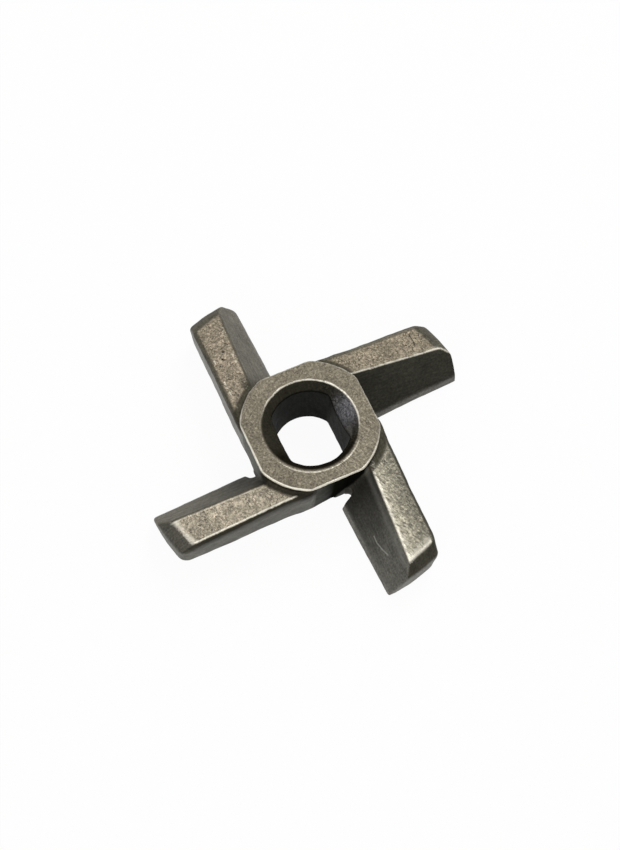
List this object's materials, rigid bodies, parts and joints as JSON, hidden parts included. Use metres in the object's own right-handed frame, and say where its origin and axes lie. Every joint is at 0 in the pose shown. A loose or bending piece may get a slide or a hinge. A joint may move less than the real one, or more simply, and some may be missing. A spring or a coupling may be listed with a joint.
{
  "type": "meat grinder knife",
  "caption": "Pinwheel knife for a meat grinder: bevelled arms on a hub with a countersunk double-D bore, flat on the cutting side.",
  "frame": {"origin": "on the bore axis, in the plane of the cutting face", "axes": "+Z along the bore axis, from the cutting face to the hub's raised face; +X along one arm, square to the bore's two flats"},
  "size_m": [0.095, 0.095, 0.017],
  "materials": {
    "steel": "fine cast skin on the tops, smooth dark ground bevels, brighter worn edges"
  },
  "bodies": {
    "root": {"knife": "steel"}
  },
  "joints": []
}
